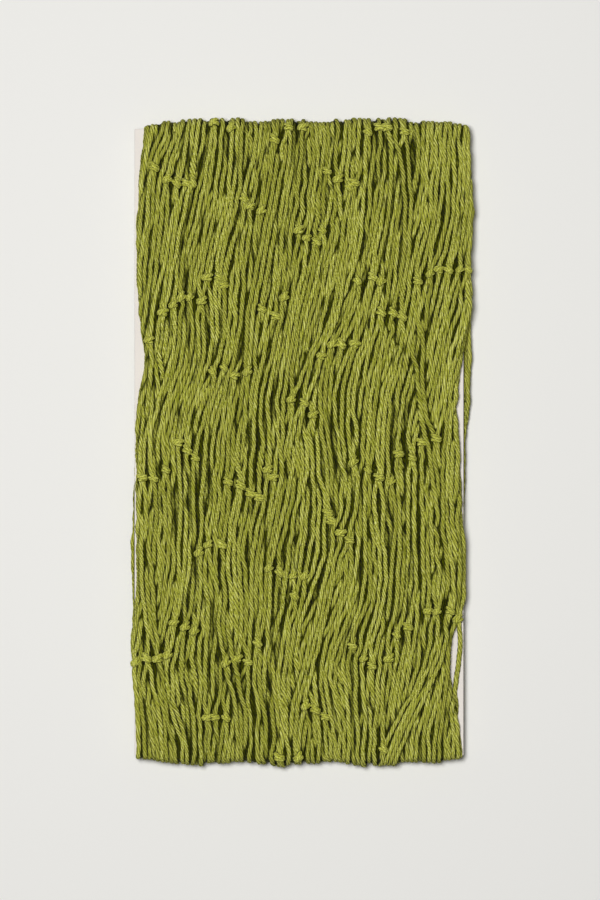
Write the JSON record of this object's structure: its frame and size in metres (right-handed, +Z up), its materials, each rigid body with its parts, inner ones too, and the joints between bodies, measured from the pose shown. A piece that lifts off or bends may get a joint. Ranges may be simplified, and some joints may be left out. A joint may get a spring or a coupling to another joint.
{
  "type": "knotted net on a card",
  "caption": "Knotted cotton netting, gathered and wound lengthwise round a flat card that holds it for storage; it lies flat.",
  "frame": {"origin": "under the middle of the card, on the surface that the winding lies on", "axes": "+Z up out of the front of the winding, +Y along the card to its upper end, +X across the card"},
  "size_m": [0.105, 0.2084, 0.0143],
  "materials": {
    "card": "smooth matt white board",
    "net": "soft twisted cotton twine, matt olive green"
  },
  "bodies": {
    "root": {"card": "card", "net_turn_1": "net", "net_turn_2": "net", "net_turn_3": "net", "net_turn_4": "net", "net_turn_5": "net", "net_turn_6": "net", "knots_1": "net", "knots_2": "net", "knots_3": "net", "knots_4": "net", "knots_5": "net", "knots_6": "net"}
  },
  "joints": []
}
